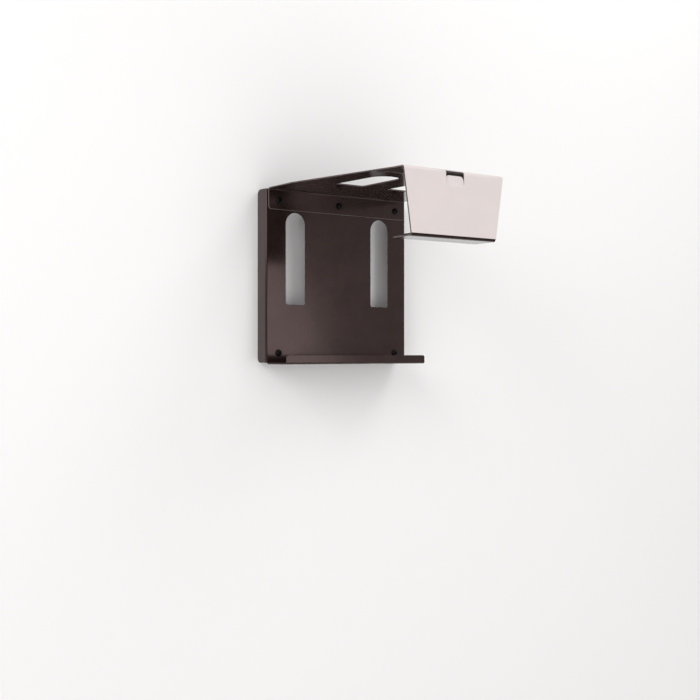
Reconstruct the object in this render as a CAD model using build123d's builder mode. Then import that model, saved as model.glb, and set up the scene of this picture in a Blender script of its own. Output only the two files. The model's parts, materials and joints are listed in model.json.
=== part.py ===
from build123d import *
from math import cos, radians, sin
import os

# Bicycle wall rack of folded sheet steel, in millimetres.
# X runs to the right along the wall, Y into the wall and Z up.
# The origin is the centre of the four wall-screw holes, on the wall.

# Wall plate: a shallow box open to the wall, its bottom folded forward as a shelf
plate_width = 360
plate_height = 356
plate_sheet = 2
plate_bend = 2
stand_off = 32
flange_corner = 10
corner_relief = 3
shelf_depth = 72
shelf_lip = 18
lip_corner = 5

# Shoe slots in the wall plate
slot_width = 48
slot_spacing = 217
slot_height = 189
slot_below_top = 45
slot_corner = 4

# Wall screws, spacers and the bolt between arm and plate
screw_inset_x = 30
screw_inset_z = 23
screw_hole = 9
spacer_outer = 16
bolt_shank = 8
bolt_hole = 9
bolt_head = 14
bolt_head_height = 4.4
bolt_dome = 3
socket_flats = 5
socket_depth = 2.6
bolt_end = 3
washer_outer = 16
washer_height = 1.6
nut_flats = 13
nut_height = 6.5
thread_gap = 0.1

# Arm: one sheet with a back flange, a tapering tray, a front drop and a hook lip
arm_side_inset = 5
arm_sheet = 2.5
arm_bend = 3
arm_reach = 371
arm_straight = 85
arm_flange = 44
arm_flange_corner = 7
front_top_width = 241
front_bottom_width = 207
front_height = 125
hook_depth = 57
hook_corner = 6

# Helmet windows in the tray, each with a square back and a round front end
strut_width = 62
window_start = 128
window_length = 134
window_back_width = 66
window_front_width = 58
window_front_flat = 3
window_corner = 5

# Front cover, lifted off upwards
cover_sheet = 1.5
fit_gap = 0.3
return_depth = 24
cover_side_margin = 1
cover_lift_edge = 5.5
notch_width = 45
notch_depth = 31
notch_corner = 8
notch_reach = 6
tab_side_gap = 1
tab_below_top = 10.5
tab_tilt = 7
tab_clearance = 0.7
tab_room_corner = 4
catch_width = 20
catch_spacing = 150
catch_gap = 0.5
catch_reach = 2

# Rubber pads
pad_thickness = 4
pad_corner = 6
pad_edge = 1
pad_side_margin = 8
hook_pad_margin = 3
pad_gap = 3
pad_below_notch = 2

# Places worked out from the sizes above
plate_bottom = -plate_height / 2
plate_top = plate_height / 2
plate_front = -stand_off
plate_back = plate_front + plate_sheet
plate_outer_bend = plate_bend + plate_sheet
shelf_front = plate_front - shelf_depth
shelf_width = plate_width - 2 * plate_outer_bend
slot_round = plate_top - slot_below_top - slot_width / 2
slot_straight = slot_height - slot_width / 2
slot_middle = slot_round - slot_straight / 2
screw_spacing_x = plate_width - 2 * screw_inset_x
screw_spacing_z = plate_height - 2 * screw_inset_z
bolt_z = screw_spacing_z / 2

arm_width = plate_width - 2 * arm_side_inset
arm_top = plate_top + arm_sheet
tray_under = arm_top - arm_sheet
arm_front = plate_front - arm_reach
arm_outer_bend = arm_bend + arm_sheet
arm_face = plate_front - arm_sheet
flange_bottom = arm_top - arm_flange
taper_start = plate_front - arm_straight
hook_bottom = arm_top - front_height
hook_top = hook_bottom + arm_sheet
window_back = plate_front - window_start
window_front = window_back - window_length
window_round = (window_front_width - window_front_flat) / 2

cover_top_width = front_top_width - 2 * cover_side_margin
cover_bottom_width = front_bottom_width - 2 * cover_side_margin
cover_front = arm_front - fit_gap - cover_sheet
cover_top = arm_top + fit_gap + cover_sheet
cover_bottom = hook_bottom + cover_lift_edge
cover_outer_bend = arm_outer_bend + fit_gap + cover_sheet
return_end = cover_front + return_depth
notch_floor = cover_top - notch_depth
tab_width = notch_width - 2 * tab_side_gap
tab_foot = notch_floor - cover_sheet
tab_height = (cover_top - tab_below_top - tab_foot) / cos(radians(tab_tilt))
catch_bottom = tray_under - catch_reach

pad_width = front_bottom_width - 2 * pad_side_margin
front_pad_bottom = hook_top + pad_thickness + pad_gap
front_pad_top = notch_floor - tab_clearance - pad_below_notch

os.makedirs("parts", exist_ok=True)

# Wall plate
with BuildPart() as wall_plate:
    # Face and side flanges, the flanges running back to the wall
    with BuildSketch(Plane.XY.offset(plate_bottom + corner_relief)):
        with BuildLine():
            FilletPolyline(
                (-plate_width / 2, 0),
                (-plate_width / 2, plate_front),
                (plate_width / 2, plate_front),
                (plate_width / 2, 0),
                radius=plate_outer_bend,
            )
            offset(amount=plate_sheet, side=Side.LEFT)
        make_face()
    extrude(amount=plate_height - corner_relief)
    fillet(wall_plate.edges().filter_by(Axis.X).group_by(Axis.Y)[-1], flange_corner)
    # Shelf with its upturned lip
    with BuildSketch(Plane.YZ):
        with BuildLine():
            FilletPolyline(
                (plate_back, plate_bottom + 2 * corner_relief),
                (plate_back, plate_bottom),
                (shelf_front, plate_bottom),
                (shelf_front, plate_bottom + shelf_lip),
                radius=plate_outer_bend,
            )
            offset(amount=plate_sheet, side=Side.RIGHT)
        make_face()
    extrude(amount=shelf_width / 2, both=True)
    fillet(wall_plate.edges().filter_by(Axis.Y).group_by(Axis.Y)[0], lip_corner)
    # Shoe slots with round tops, screw holes and the bolt hole
    with BuildSketch(Plane.XZ.offset(stand_off)) as plate_holes:
        with Locations(
            (-slot_spacing / 2, slot_middle),
            (slot_spacing / 2, slot_middle),
        ):
            Rectangle(slot_width, slot_straight)
        fillet(plate_holes.vertices().group_by(Axis.Z)[0], slot_corner)
        with Locations((-slot_spacing / 2, slot_round), (slot_spacing / 2, slot_round)):
            Circle(slot_width / 2)
        with GridLocations(screw_spacing_x, screw_spacing_z, 2, 2):
            Circle(screw_hole / 2)
        with Locations((0, bolt_z)):
            Circle(bolt_hole / 2)
    extrude(amount=2 * plate_sheet, both=True, mode=Mode.SUBTRACT)
wall_plate.part.label = "wall_plate"
export_step(wall_plate.part, "parts/wall_plate.step")

# Arm
with BuildPart() as arm:
    # Side outline of the folded sheet: flange, tray, front drop and hook lip
    with BuildSketch(Plane.YZ):
        with BuildLine():
            FilletPolyline(
                (plate_front, flange_bottom),
                (plate_front, arm_top),
                (arm_front, arm_top),
                (arm_front, hook_bottom),
                (arm_front + hook_depth, hook_bottom),
                radius=arm_outer_bend,
            )
            offset(amount=arm_sheet, side=Side.LEFT)
        make_face()
    extrude(amount=arm_width / 2, both=True)
    # Tapering sides of the tray
    with BuildSketch(Plane.XY.offset(arm_top)):
        with BuildLine():
            Polyline(
                (arm_width / 2, taper_start),
                (arm_width, taper_start),
                (arm_width, arm_front),
                (front_top_width / 2, arm_front),
                close=True,
            )
        make_face()
        mirror(about=Plane.YZ)
    extrude(amount=-front_height, mode=Mode.SUBTRACT)
    # Slanting sides of the front drop, upright beside the hook lip
    with BuildSketch(Plane.XZ.offset(-arm_front)):
        with BuildLine():
            Polyline(
                (front_bottom_width / 2, hook_bottom),
                (front_bottom_width / 2, hook_bottom + arm_outer_bend),
                (front_top_width / 2, arm_top - arm_outer_bend),
                (arm_width, arm_top - arm_outer_bend),
                (arm_width, hook_bottom),
                close=True,
            )
        make_face()
        mirror(about=Plane.YZ)
    extrude(amount=-hook_depth, mode=Mode.SUBTRACT)
    # Rounded corners of the flange and of the hook lip
    fillet(arm.edges().filter_by(Axis.Y).sort_by(Axis.Y)[-2:], arm_flange_corner)
    fillet(arm.edges().filter_by(Axis.Z).group_by(Axis.Z)[0], hook_corner)
    # Helmet windows and the slots for the catches of the cover
    with BuildSketch(Plane.XY.offset(arm_top)) as windows:
        with BuildLine():
            Polyline(
                (strut_width / 2, window_back),
                (strut_width / 2 + window_back_width, window_back),
                (strut_width / 2 + window_front_width, window_front),
                (strut_width / 2, window_front),
                close=True,
            )
        make_face()
        mirror(about=Plane.YZ)
        fillet(windows.vertices().group_by(Axis.Y)[0], window_round)
        fillet(windows.vertices().group_by(Axis.Y)[-1], window_corner)
        with Locations(
            (-catch_spacing / 2, return_end - cover_sheet / 2),
            (catch_spacing / 2, return_end - cover_sheet / 2),
        ):
            Rectangle(catch_width + 2 * catch_gap, cover_sheet + 2 * catch_gap)
    extrude(amount=-2 * arm_sheet, mode=Mode.SUBTRACT)
    # Room for the tab of the cover, through the front drop and its bend
    with BuildSketch(Plane.XZ.offset(-arm_front)) as tab_room:
        with Locations((0, notch_floor - tab_clearance)):
            Rectangle(tab_width + 2 * tab_clearance, 2 * notch_depth, align=(Align.CENTER, Align.MIN))
        fillet(tab_room.vertices().group_by(Axis.Z)[0], tab_room_corner)
    extrude(amount=-notch_reach, mode=Mode.SUBTRACT)
    # Screw holes and bolt hole in the flange
    with BuildSketch(Plane.XZ.offset(stand_off)):
        with Locations((-screw_spacing_x / 2, bolt_z), (screw_spacing_x / 2, bolt_z)):
            Circle(screw_hole / 2)
        with Locations((0, bolt_z)):
            Circle(bolt_hole / 2)
    extrude(amount=2 * arm_sheet, mode=Mode.SUBTRACT)
arm.part.label = "arm"
export_step(arm.part, "parts/arm.step")

# Front cover
with BuildPart() as front_cover:
    # Side outline: the return over the tray and the front
    with BuildSketch(Plane.YZ):
        with BuildLine():
            FilletPolyline(
                (return_end, cover_top),
                (cover_front, cover_top),
                (cover_front, cover_bottom),
                radius=cover_outer_bend,
            )
            offset(amount=cover_sheet, side=Side.LEFT)
        make_face()
    extrude(amount=cover_top_width / 2, both=True)
    # Slanting sides
    with BuildSketch(Plane.XZ.offset(-cover_front)):
        with BuildLine():
            Polyline(
                (cover_bottom_width / 2, cover_bottom),
                (cover_top_width / 2, cover_top - cover_outer_bend),
                (cover_top_width, cover_top - cover_outer_bend),
                (cover_top_width, cover_bottom),
                close=True,
            )
        make_face()
        mirror(about=Plane.YZ)
    extrude(amount=-return_depth, mode=Mode.SUBTRACT)
    # Notch for hanging glasses, cut through the bend
    with BuildSketch(Plane.XZ.offset(-cover_front)) as cover_notch:
        with Locations((0, notch_floor)):
            Rectangle(notch_width, 2 * notch_depth, align=(Align.CENTER, Align.MIN))
        fillet(cover_notch.vertices().group_by(Axis.Z)[0], notch_corner)
    extrude(amount=-notch_reach, mode=Mode.SUBTRACT)
    # Tab left standing in the notch, leaning back from its foot
    with BuildSketch(
        Plane(
            origin=(0, cover_front, tab_foot),
            x_dir=(1, 0, 0),
            z_dir=(0, -cos(radians(tab_tilt)), sin(radians(tab_tilt))),
        )
    ) as tab:
        Rectangle(tab_width, tab_height, align=(Align.CENTER, Align.MIN))
        fillet(tab.vertices(), notch_corner)
    extrude(amount=-cover_sheet)
    # Catches turned down through the tray
    with BuildSketch(Plane.XY.offset(cover_top)):
        with Locations(
            (-catch_spacing / 2, return_end - cover_sheet / 2),
            (catch_spacing / 2, return_end - cover_sheet / 2),
        ):
            Rectangle(catch_width, cover_sheet)
    extrude(amount=catch_bottom - cover_top)
front_cover.part.label = "front_cover"
export_step(front_cover.part, "parts/front_cover.step")

# Pad on the hook lip
with BuildPart() as hook_pad:
    with BuildSketch(Plane.XY.offset(hook_top)):
        with Locations((0, arm_front + hook_depth - hook_pad_margin)):
            RectangleRounded(
                pad_width,
                hook_depth - hook_pad_margin - arm_outer_bend,
                pad_corner,
                align=(Align.CENTER, Align.MAX),
            )
    extrude(amount=pad_thickness)
    fillet(hook_pad.faces().sort_by(Axis.Z)[-1].edges(), pad_edge)
hook_pad.part.label = "hook_pad"
export_step(hook_pad.part, "parts/hook_pad.step")

# Pad on the inner face of the front drop
with BuildPart() as front_pad:
    with BuildSketch(Plane.XZ.offset(-arm_front - arm_sheet)):
        with Locations((0, front_pad_bottom)):
            RectangleRounded(
                pad_width,
                front_pad_top - front_pad_bottom,
                pad_corner,
                align=(Align.CENTER, Align.MIN),
            )
    extrude(amount=-pad_thickness)
    fillet(front_pad.faces().sort_by(Axis.Y)[-1].edges(), pad_edge)
front_pad.part.label = "front_pad"
export_step(front_pad.part, "parts/front_pad.step")

# Spacer tubes between the wall and the plate
with BuildPart() as wall_spacers:
    with BuildSketch(Plane.XZ):
        with GridLocations(screw_spacing_x, screw_spacing_z, 2, 2):
            Circle(spacer_outer / 2)
            Circle(screw_hole / 2, mode=Mode.SUBTRACT)
    extrude(amount=-plate_back)
wall_spacers.part.label = "wall_spacers"
export_step(wall_spacers.part, "parts/wall_spacers.step")

# Washer behind the plate
with BuildPart() as arm_washer:
    with BuildSketch(Plane.XZ.offset(-plate_back)):
        with Locations((0, bolt_z)):
            Circle(washer_outer / 2)
            Circle(bolt_hole / 2, mode=Mode.SUBTRACT)
    extrude(amount=-washer_height)
arm_washer.part.label = "arm_washer"
export_step(arm_washer.part, "parts/arm_washer.step")

# Nut behind the washer
with BuildPart() as arm_nut:
    with BuildSketch(Plane.XZ.offset(-plate_back - washer_height)):
        with Locations((0, bolt_z)):
            RegularPolygon(nut_flats / 2, 6, major_radius=False)
            Circle(bolt_shank / 2 + thread_gap, mode=Mode.SUBTRACT)
    extrude(amount=-nut_height)
arm_nut.part.label = "arm_nut"
export_step(arm_nut.part, "parts/arm_nut.step")

# Button-head bolt through flange, plate, washer and nut
with BuildPart() as arm_bolt:
    with BuildSketch(Plane.XZ.offset(-arm_face)):
        with Locations((0, bolt_z)):
            Circle(bolt_head / 2)
    extrude(amount=bolt_head_height)
    fillet(arm_bolt.edges().sort_by(Axis.Y)[0], bolt_dome)
    with BuildSketch(Plane.XZ.offset(-arm_face)):
        with Locations((0, bolt_z)):
            Circle(bolt_shank / 2)
    extrude(amount=arm_face - plate_back - washer_height - nut_height - bolt_end)
    with BuildSketch(Plane.XZ.offset(-arm_face + bolt_head_height)):
        with Locations((0, bolt_z)):
            RegularPolygon(socket_flats / 2, 6, major_radius=False)
    extrude(amount=-socket_depth, mode=Mode.SUBTRACT)
arm_bolt.part.label = "arm_bolt"
export_step(arm_bolt.part, "parts/arm_bolt.step")
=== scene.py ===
import json
import math

import bmesh
import bpy
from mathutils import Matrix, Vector


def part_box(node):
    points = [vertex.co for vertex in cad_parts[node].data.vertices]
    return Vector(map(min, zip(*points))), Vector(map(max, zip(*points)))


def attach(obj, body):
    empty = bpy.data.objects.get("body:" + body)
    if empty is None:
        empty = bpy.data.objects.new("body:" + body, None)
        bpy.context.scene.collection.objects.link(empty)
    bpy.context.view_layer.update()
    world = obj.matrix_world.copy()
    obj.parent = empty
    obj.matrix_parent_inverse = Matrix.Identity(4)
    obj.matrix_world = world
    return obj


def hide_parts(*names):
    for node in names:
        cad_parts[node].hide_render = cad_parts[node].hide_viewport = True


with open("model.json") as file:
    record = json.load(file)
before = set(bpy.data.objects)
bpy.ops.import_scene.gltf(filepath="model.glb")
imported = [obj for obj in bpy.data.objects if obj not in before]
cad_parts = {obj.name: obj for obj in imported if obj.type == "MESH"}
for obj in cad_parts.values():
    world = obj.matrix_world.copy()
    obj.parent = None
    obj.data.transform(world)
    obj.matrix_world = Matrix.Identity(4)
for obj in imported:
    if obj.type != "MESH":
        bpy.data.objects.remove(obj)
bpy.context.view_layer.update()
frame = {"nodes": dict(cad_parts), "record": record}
nodes = frame["nodes"]
record = frame["record"]
scene = bpy.context.scene

# Lengths are in metres where no other unit is named.

# Sheets and the rounding of their cut edges
PLATE_SHEET = 0.002
ARM_SHEET = 0.0025
EDGE_ROUND = {"wall_plate": 0.0008, "arm": 0.001, "front_cover": 0.0006}
EDGE_SEGMENTS = 3
WELD_GAP = 0.00001
SHARP = math.radians(40)

# Dry coat in the arm's front fold: how far behind the front it ends, how far it keeps its full roughness,
# and how much roughness that adds
FOLD_REACH = 0.075
FOLD_FULL = 0.05
DRY_ROUGH = 0.8

# Wall screws
SCREW_HEAD_R = 0.007
SCREW_HEAD_H = 0.0044
SCREW_RIM_H = 0.0008
SCREW_FLAT_R = 0.0036
SCREW_SHANK_R = 0.004
SOCKET_FLATS_R = 0.0025
SOCKET_DEPTH = 0.0026
SCREW_STEPS = 48
DOME_STEPS = 8
MM_PER_M = 1000

# Ribbed pads. GROOVE_GAIN and GROOVE_TRIM flatten the tops of the ribs and the floors of the grooves.
PAD_CORNER = 0.006
PAD_EDGE = 0.001
PAD_RIM = 0.005
RIB_PITCH = 0.006
GROOVE_DEPTH = 0.0015
GROOVE_RUN_OUT = 0.006
GROOVE_GAIN = 1.4
GROOVE_TRIM = 0.2
PAD_EDGE_STEPS = 4
GROOVE_STEPS = 10
RUN_OUT_STEPS = 6

# Patterns of the materials. Scales are per metre. The LOW and HIGH values are the noise at the two ends of
# a range of colour or roughness.
COLOUR_SCALE = 26
GLOSS_SCALE = 18
GRAIN_SCALE = 700
FINE_GRAIN_SCALE = 900
GRAIN_HEIGHT = 0.0002
BRUSH_SCALE = 400
BRUSH_STRENGTH = 0.08
BRUSH_HEIGHT = 0.0001
COLOUR_LOW = 0.35
COLOUR_HIGH = 0.65
GLOSS_LOW = 0.3
GLOSS_HIGH = 0.7

# Stage
FLOOR_Z = -1.25
FLOOR_COLOUR = (0.9, 0.885, 0.88)
WALL_GAP = 0.001
WALL_COLOUR = (0.96, 0.957, 0.957)
STAGE_SIZE = 20
STAGE_ROUGH = 0.9
STAGE_SPECULAR = 0.1

# Light: a large soft lamp from the upper left, weaker ones from the front and the upper right, and a
# soft surround. Each lamp has a name, place, target, size and power in watts.
LAMPS = [
    ("key", (-3.4, -1.4, 1.5), (0, -0.1, 0), 2.4, 70),
    ("fill", (1.2, -3.0, -0.15), (0, -0.2, 0), 1.3, 9),
    ("top", (1.2, -1.3, 1.9), (0, -0.2, 0), 1.2, 12),
]
SURROUND_COLOUR = (1, 0.99, 0.985)
SURROUND_STRENGTH = 0.635

# Camera, matched to the photograph. The focal length is in pixels of a 700 pixel frame, and the sensor
# width is in millimetres.
FOCAL_PIXELS = 1106.317
FRAME_PIXELS = 700
SENSOR = 36
CAMERA_PLACE = (-1.353167, -1.94307, -0.153521)
YAW = math.radians(35.892)
PITCH = math.radians(0.111)


# Materials. Patterns use object coordinates, which are metres in the part's own frame.
def new_material(name):
    mat = bpy.data.materials.new(name)
    mat.use_nodes = True
    tree = mat.node_tree
    coords = tree.nodes.new("ShaderNodeTexCoord")
    return mat, tree, tree.nodes["Principled BSDF"], coords.outputs["Object"]


def noise(tree, vector, scale, detail, stretch=None):
    if stretch is not None:
        mapping = tree.nodes.new("ShaderNodeMapping")
        mapping.inputs["Scale"].default_value = stretch
        tree.links.new(vector, mapping.inputs["Vector"])
        vector = mapping.outputs["Vector"]
    tex = tree.nodes.new("ShaderNodeTexNoise")
    tex.inputs["Scale"].default_value = scale
    tex.inputs["Detail"].default_value = detail
    tree.links.new(vector, tex.inputs["Vector"])
    return tex.outputs["Fac"]


def ramp(tree, fac, dark, light):
    node = tree.nodes.new("ShaderNodeValToRGB")
    node.color_ramp.elements[0].position = COLOUR_LOW
    node.color_ramp.elements[0].color = (*dark, 1)
    node.color_ramp.elements[1].position = COLOUR_HIGH
    node.color_ramp.elements[1].color = (*light, 1)
    tree.links.new(fac, node.inputs["Fac"])
    return node.outputs["Color"]


def map_range(tree, value, start, end, low, high):
    node = tree.nodes.new("ShaderNodeMapRange")
    node.inputs["From Min"].default_value = start
    node.inputs["From Max"].default_value = end
    node.inputs["To Min"].default_value = low
    node.inputs["To Max"].default_value = high
    tree.links.new(value, node.inputs["Value"])
    return node


def spread(tree, fac, low, high):
    return map_range(tree, fac, GLOSS_LOW, GLOSS_HIGH, low, high).outputs["Result"]


def bump(tree, shader, fac, strength, distance):
    node = tree.nodes.new("ShaderNodeBump")
    node.inputs["Strength"].default_value = strength
    node.inputs["Distance"].default_value = distance
    tree.links.new(fac, node.inputs["Height"])
    tree.links.new(node.outputs["Normal"], shader.inputs["Normal"])


def math_node(tree, operation, *inputs):
    node = tree.nodes.new("ShaderNodeMath")
    node.operation = operation
    for socket, value in zip(node.inputs, inputs):
        if isinstance(value, bpy.types.NodeSocket):
            tree.links.new(value, socket)
        else:
            socket.default_value = value
    return node.outputs["Value"]


def axes(tree, vector):
    node = tree.nodes.new("ShaderNodeSeparateXYZ")
    tree.links.new(vector, node.inputs["Vector"])
    return node.outputs


def mix_shaders(tree, fac, first, second):
    node = tree.nodes.new("ShaderNodeMixShader")
    tree.links.new(fac, node.inputs["Fac"])
    tree.links.new(first, node.inputs[1])
    tree.links.new(second, node.inputs[2])
    return node.outputs["Shader"]


def coating(name, dark, light, rough, specular, grain, grain_scale=GRAIN_SCALE, tint=(1, 1, 1)):
    """Paint, oxide or rubber: mottled colour, uneven gloss and a fine grain."""
    mat, tree, shader, vector = new_material(name)
    colour = ramp(tree, noise(tree, vector, COLOUR_SCALE, detail=4), dark, light)
    tree.links.new(colour, shader.inputs["Base Color"])
    gloss = spread(tree, noise(tree, vector, GLOSS_SCALE, detail=1), *rough)
    tree.links.new(gloss, shader.inputs["Roughness"])
    shader.inputs["Specular IOR Level"].default_value = specular
    shader.inputs["Specular Tint"].default_value = (*tint, 1)
    bump(tree, shader, noise(tree, vector, grain_scale, detail=2), grain, GRAIN_HEIGHT)
    return mat


def metal(name, dark, light, rough, stretch):
    """Brushed metal: colour, gloss and bump follow one stretched noise."""
    mat, tree, shader, vector = new_material(name)
    fac = noise(tree, vector, BRUSH_SCALE, detail=3, stretch=stretch)
    tree.links.new(ramp(tree, fac, dark, light), shader.inputs["Base Color"])
    tree.links.new(spread(tree, fac, *rough), shader.inputs["Roughness"])
    shader.inputs["Metallic"].default_value = 1.0
    bump(tree, shader, fac, BRUSH_STRENGTH, BRUSH_HEIGHT)
    return mat


materials = {
    "black_coat": coating(
        "black_coat",
        dark=(0.0135, 0.0078, 0.0073),
        light=(0.0195, 0.0115, 0.0108),
        rough=(0.13, 0.17),
        specular=0.45,
        grain=0.02,
        tint=(1, 0.72, 0.68),
    ),
    # Paler coat for the arm's rounded edges: a painted highlight along the edges, not a thinner coat.
    "black_coat_painted_highlight": coating(
        "black_coat_painted_highlight",
        dark=(0.085, 0.064, 0.061),
        light=(0.14, 0.108, 0.102),
        rough=(0.3, 0.4),
        specular=0.45,
        grain=0.02,
    ),
    "white_coat": coating(
        "white_coat",
        dark=(0.75, 0.678, 0.668),
        light=(0.77, 0.696, 0.686),
        rough=(0.42, 0.52),
        specular=0.4,
        grain=0.05,
    ),
    "pad_rubber": coating(
        "pad_rubber",
        dark=(0.014, 0.0135, 0.0135),
        light=(0.023, 0.022, 0.022),
        rough=(0.66, 0.82),
        specular=0.3,
        grain=0.3,
        grain_scale=FINE_GRAIN_SCALE,
    ),
    "black_bolt": coating(
        "black_bolt",
        dark=(0.002, 0.0018, 0.0018),
        light=(0.004, 0.0035, 0.0035),
        rough=(0.38, 0.5),
        specular=0.16,
        grain=0.06,
        grain_scale=FINE_GRAIN_SCALE,
    ),
    "zinc_steel": metal(
        "zinc_steel",
        dark=(0.5, 0.5, 0.48),
        light=(0.66, 0.66, 0.64),
        rough=(0.28, 0.42),
        stretch=(1, 6, 1),
    ),
}


def dry_inside_fold(mat):
    """Sprayed coat reaches poorly into the arm's front fold, so it is rougher on the faces inside."""
    tree = mat.node_tree
    shader = tree.nodes["Principled BSDF"]
    gloss = shader.inputs["Roughness"].links[0].from_socket
    coords = next(n for n in tree.nodes if n.bl_idname == "ShaderNodeTexCoord")
    place = axes(tree, coords.outputs["Object"])
    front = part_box("arm")[0].y
    depth = map_range(tree, place["Y"], front + FOLD_REACH, front + FOLD_FULL, 0, DRY_ROUGH)
    depth.interpolation_type = "SMOOTHSTEP"
    tray_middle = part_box("arm")[1].z - ARM_SHEET / 2
    lip_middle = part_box("arm")[0].z + ARM_SHEET / 2
    middle = (tray_middle + lip_middle) / 2
    inside = math_node(tree, "COMPARE", place["Z"], middle, tray_middle - middle)
    rough = math_node(tree, "MULTIPLY_ADD", depth.outputs["Result"], inside, gloss)
    tree.links.new(rough, shader.inputs["Roughness"])


dry_inside_fold(materials["black_coat"])

slot_of = {s["node"]: s["material_slot"] for s in record["subparts"]}
for name, node in nodes.items():
    node.data.materials.clear()
    node.data.materials.append(materials[slot_of[name]])


# Cut edges of the sheets, rounded by the coat as far as the mesh leaves room
def round_edges(node, radius):
    weld = node.modifiers.new("weld", "WELD")
    weld.merge_threshold = WELD_GAP
    bevel = node.modifiers.new("edge_round", "BEVEL")
    bevel.width = radius
    bevel.segments = EDGE_SEGMENTS
    bevel.limit_method = "ANGLE"
    bevel.angle_limit = SHARP
    bevel.harden_normals = True
    return bevel


bevels = {name: round_edges(nodes[name], radius) for name, radius in EDGE_ROUND.items()}

# The arm's mesh has room for the whole radius. Its rounded edges get a paler coat, a painted highlight
# standing in for the light these edges catch.
bevels["arm"].use_clamp_overlap = False
bevels["arm"].loop_slide = False
nodes["arm"].data.materials.append(materials["black_coat_painted_highlight"])
bevels["arm"].material = 1


# Pieces
def add_piece(name, bm, slot):
    bmesh.ops.recalc_face_normals(bm, faces=bm.faces)
    mesh = bpy.data.meshes.new(name)
    bm.to_mesh(mesh)
    bm.free()
    mesh.materials.append(materials[slot])
    for poly in mesh.polygons:
        poly.use_smooth = True
    mesh.set_sharp_from_angle(angle=SHARP)
    piece = bpy.data.objects.new(name, mesh)
    scene.collection.objects.link(piece)
    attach(piece, "rack")
    return piece


# Wall screws: button heads with a hexagon socket, standing in the open holes
def add_screw(bm, x, face_y, z):
    turns = [2 * math.pi * i / SCREW_STEPS for i in range(SCREW_STEPS)]

    def ring(radius, y):
        return [bm.verts.new((x + radius(a) * math.cos(a), y, z + radius(a) * math.sin(a))) for a in turns]

    def circle(r):
        return lambda a: r

    def hexagon(a):
        return SOCKET_FLATS_R / math.cos((a % (math.pi / 3)) - math.pi / 6)

    rings = [ring(circle(SCREW_SHANK_R), -WALL_GAP / 2), ring(circle(SCREW_SHANK_R), face_y)]
    rings += [ring(circle(SCREW_HEAD_R), face_y), ring(circle(SCREW_HEAD_R), face_y - SCREW_RIM_H)]
    for k in range(1, DOME_STEPS + 1):
        t = math.pi / 2 * k / DOME_STEPS
        radius = SCREW_FLAT_R + (SCREW_HEAD_R - SCREW_FLAT_R) * math.cos(t)
        y = face_y - SCREW_RIM_H - (SCREW_HEAD_H - SCREW_RIM_H) * math.sin(t)
        rings.append(ring(circle(radius), y))
    rings.append(ring(hexagon, face_y - SCREW_HEAD_H))
    rings.append(ring(hexagon, face_y - SCREW_HEAD_H + SOCKET_DEPTH))
    for a, b in zip(rings, rings[1:]):
        for i in range(SCREW_STEPS):
            j = (i + 1) % SCREW_STEPS
            bm.faces.new((a[i], a[j], b[j], b[i]))
    bm.faces.new(rings[0])
    bm.faces.new(list(reversed(rings[-1])))


screw_dims = next(m["dims"] for m in record["mounts"] if m["name"] == "wall_screws")
screw_x = screw_dims["spacing_x_mm"] / 2 / MM_PER_M
screw_z = screw_dims["spacing_y_mm"] / 2 / MM_PER_M
plate_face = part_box("wall_spacers")[0].y - PLATE_SHEET
flange_face = plate_face - ARM_SHEET
bm = bmesh.new()
for x in (-screw_x, screw_x):
    add_screw(bm, x, flange_face, screw_z)
    add_screw(bm, x, plate_face, -screw_z)
add_piece("wall_screws", bm, "black_bolt")


# Rubber pads: ribs along X inside a plain rim, with rounded edges
def smooth(t):
    t = min(max(t, 0), 1)
    return t * t * (3 - 2 * t)


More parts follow.
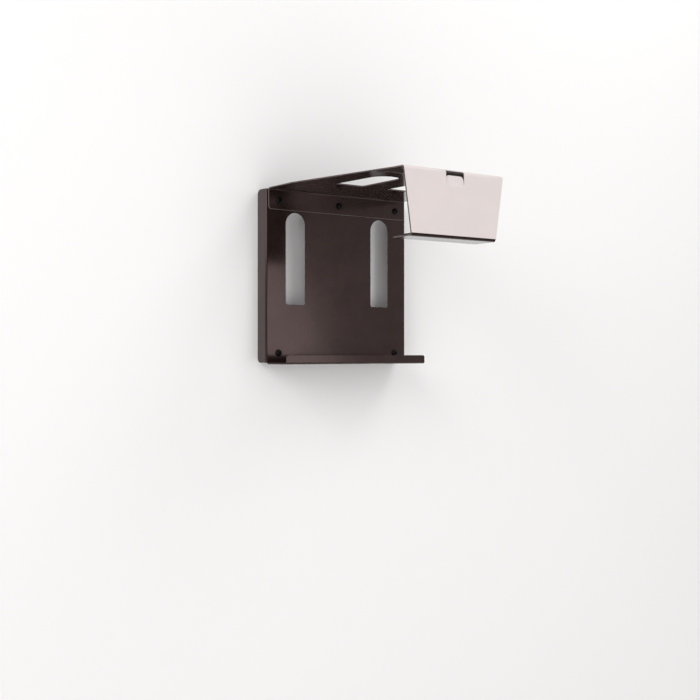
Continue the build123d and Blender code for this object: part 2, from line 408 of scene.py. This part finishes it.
def ribbed_pad(name, length, width, thick, place):
    """length runs along X, width across the ribs. place turns (x, across, height) into a point."""
    ribs = round((width - 2 * PAD_RIM) / RIB_PITCH)
    pitch = (width - 2 * PAD_RIM) / ribs
    edge = [PAD_EDGE * (1 - math.cos(math.pi / 2 * k / PAD_EDGE_STEPS)) for k in range(PAD_EDGE_STEPS + 1)]
    grooves = [PAD_RIM + pitch * k / GROOVE_STEPS for k in range(GROOVE_STEPS * ribs + 1)]
    rows = edge + grooves + [width - d for d in reversed(edge)]
    run_out = [PAD_RIM + GROOVE_RUN_OUT * k / RUN_OUT_STEPS for k in range(RUN_OUT_STEPS + 1)]
    columns = edge + run_out + [length / 3, length * 2 / 3]
    columns += [length - d for d in reversed(edge + run_out)]

    def inset(s):
        """How far the rounded corner draws in the ends of row s."""
        d = PAD_CORNER - min(s, width - s, PAD_CORNER)
        return PAD_CORNER - math.sqrt(PAD_CORNER ** 2 - d ** 2)

    def inside(x, s):
        """Distance in from the rounded outline."""
        dx = PAD_CORNER - min(x, length - x)
        ds = PAD_CORNER - min(s, width - s)
        if dx > 0 and ds > 0:
            return PAD_CORNER - math.hypot(dx, ds)
        return PAD_CORNER - max(dx, ds)

    def height(x, s):
        d = max(inside(x, s), 0)
        h = thick
        if d < PAD_EDGE:
            h -= PAD_EDGE - math.sqrt(PAD_EDGE ** 2 - (PAD_EDGE - d) ** 2)
        if PAD_RIM < s < width - PAD_RIM:
            wave = 0.5 - 0.5 * math.cos(2 * math.pi * (s - PAD_RIM) / pitch)
            ends = smooth((min(x, length - x) - PAD_RIM) / GROOVE_RUN_OUT)
            h -= GROOVE_DEPTH * smooth(GROOVE_GAIN * wave - GROOVE_TRIM) * ends
        return h

    bm = bmesh.new()
    grid = []
    for s in rows:
        short = inset(s)
        scale = (length - 2 * short) / length
        line = []
        for c in columns:
            x = short + c * scale
            line.append(bm.verts.new(place(x - length / 2, s, height(x, s))))
        grid.append(line)
    for a, b in zip(grid, grid[1:]):
        for i in range(len(columns) - 1):
            bm.faces.new((a[i], a[i + 1], b[i + 1], b[i]))

    # Sides, from the rim of the ribbed face down to the foot
    rim = grid[0] + [line[-1] for line in grid[1:]]
    rim += grid[-1][-2::-1] + [line[0] for line in grid[-2:0:-1]]
    outline = [(c - length / 2) * (length - 2 * inset(0)) / length for c in columns]
    corners = [(x, rows[0]) for x in outline]
    corners += [(length / 2 - inset(s), s) for s in rows[1:]]
    corners += [(x, rows[-1]) for x in reversed(outline[:-1])]
    corners += [(inset(s) - length / 2, s) for s in reversed(rows[1:-1])]
    foot = [bm.verts.new(place(x, s, 0)) for x, s in corners]
    for i in range(len(rim)):
        j = (i + 1) % len(rim)
        bm.faces.new((rim[i], rim[j], foot[j], foot[i]))
    bm.faces.new(foot)
    pad = add_piece(name, bm, "pad_rubber")
    return pad


hook_low, hook_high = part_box("hook_pad")
size = hook_high - hook_low
pad = ribbed_pad(
    "hook_pad_ribbed", size.x, size.y, size.z, lambda x, s, h: (x, hook_low.y + s, hook_low.z + h)
)
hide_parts("hook_pad")

front_low, front_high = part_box("front_pad")
size = front_high - front_low
pad = ribbed_pad(
    "front_pad_ribbed", size.x, size.z, size.y, lambda x, s, h: (x, front_low.y + h, front_low.z + s)
)
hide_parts("front_pad")


# Stage: a pale wall behind the rack and a pale floor
def stage_plane(name, location, rotation, colour):
    bpy.ops.mesh.primitive_plane_add(size=STAGE_SIZE, location=location, rotation=rotation)
    plane = bpy.context.object
    plane.name = name
    mat = bpy.data.materials.new(name)
    mat.use_nodes = True
    shader = mat.node_tree.nodes["Principled BSDF"]
    shader.inputs["Base Color"].default_value = (*colour, 1)
    shader.inputs["Roughness"].default_value = STAGE_ROUGH
    shader.inputs["Specular IOR Level"].default_value = STAGE_SPECULAR
    plane.data.materials.append(mat)
    return plane, mat.node_tree


stage_plane("floor", (0, 0, FLOOR_Z), (0, 0, 0), FLOOR_COLOUR)
wall, tree = stage_plane("wall", (0, WALL_GAP, 0), (math.radians(90), 0, 0), WALL_COLOUR)

# The coat mirrors the open wall as plain white, and the wall behind the plate as it is lit.
place = axes(tree, tree.nodes.new("ShaderNodeTexCoord").outputs["Object"])
across = math_node(tree, "ABSOLUTE", place["X"])
upward = math_node(tree, "ABSOLUTE", place["Y"])
reach = math_node(tree, "MAXIMUM", across, upward)
open_wall = math_node(tree, "GREATER_THAN", reach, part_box("wall_plate")[1].z)
path = tree.nodes.new("ShaderNodeLightPath")
plain_white = math_node(tree, "MULTIPLY", open_wall, path.outputs["Is Glossy Ray"])
lit = tree.nodes["Principled BSDF"].outputs["BSDF"]
white = tree.nodes.new("ShaderNodeEmission").outputs["Emission"]
seen = mix_shaders(tree, plain_white, lit, white)

# The wall shows from its front only, and leaves the light on the back of the rack alone.
behind = tree.nodes.new("ShaderNodeNewGeometry").outputs["Backfacing"]
clear = tree.nodes.new("ShaderNodeBsdfTransparent").outputs["BSDF"]
front_only = mix_shaders(tree, behind, seen, clear)
tree.links.new(front_only, tree.nodes["Material Output"].inputs["Surface"])
wall.visible_diffuse = False
wall.visible_shadow = False

for name, location, target, width, power in LAMPS:
    lamp = bpy.data.lights.new(name, "AREA")
    lamp.shape = "DISK"
    lamp.size = width
    lamp.energy = power
    lamp_object = bpy.data.objects.new(name, lamp)
    lamp_object.location = location
    aim = Vector(target) - Vector(location)
    lamp_object.rotation_euler = aim.to_track_quat("-Z", "Y").to_euler()
    lamp_object.visible_camera = False
    scene.collection.objects.link(lamp_object)

world = bpy.data.worlds.new("studio")
scene.world = world
world.use_nodes = True
background = world.node_tree.nodes["Background"]
background.inputs["Color"].default_value = (*SURROUND_COLOUR, 1)
background.inputs["Strength"].default_value = SURROUND_STRENGTH

camera = bpy.data.cameras.new("camera")
camera.sensor_width = SENSOR
camera.lens = FOCAL_PIXELS / FRAME_PIXELS * SENSOR
camera_object = bpy.data.objects.new("camera", camera)
camera_object.location = CAMERA_PLACE
look = Vector((math.sin(YAW) * math.cos(PITCH), math.cos(YAW) * math.cos(PITCH), math.sin(PITCH)))
camera_object.rotation_euler = look.to_track_quat("-Z", "Y").to_euler()
scene.collection.objects.link(camera_object)
scene.camera = camera_object
scene.view_settings.view_transform = "Standard"
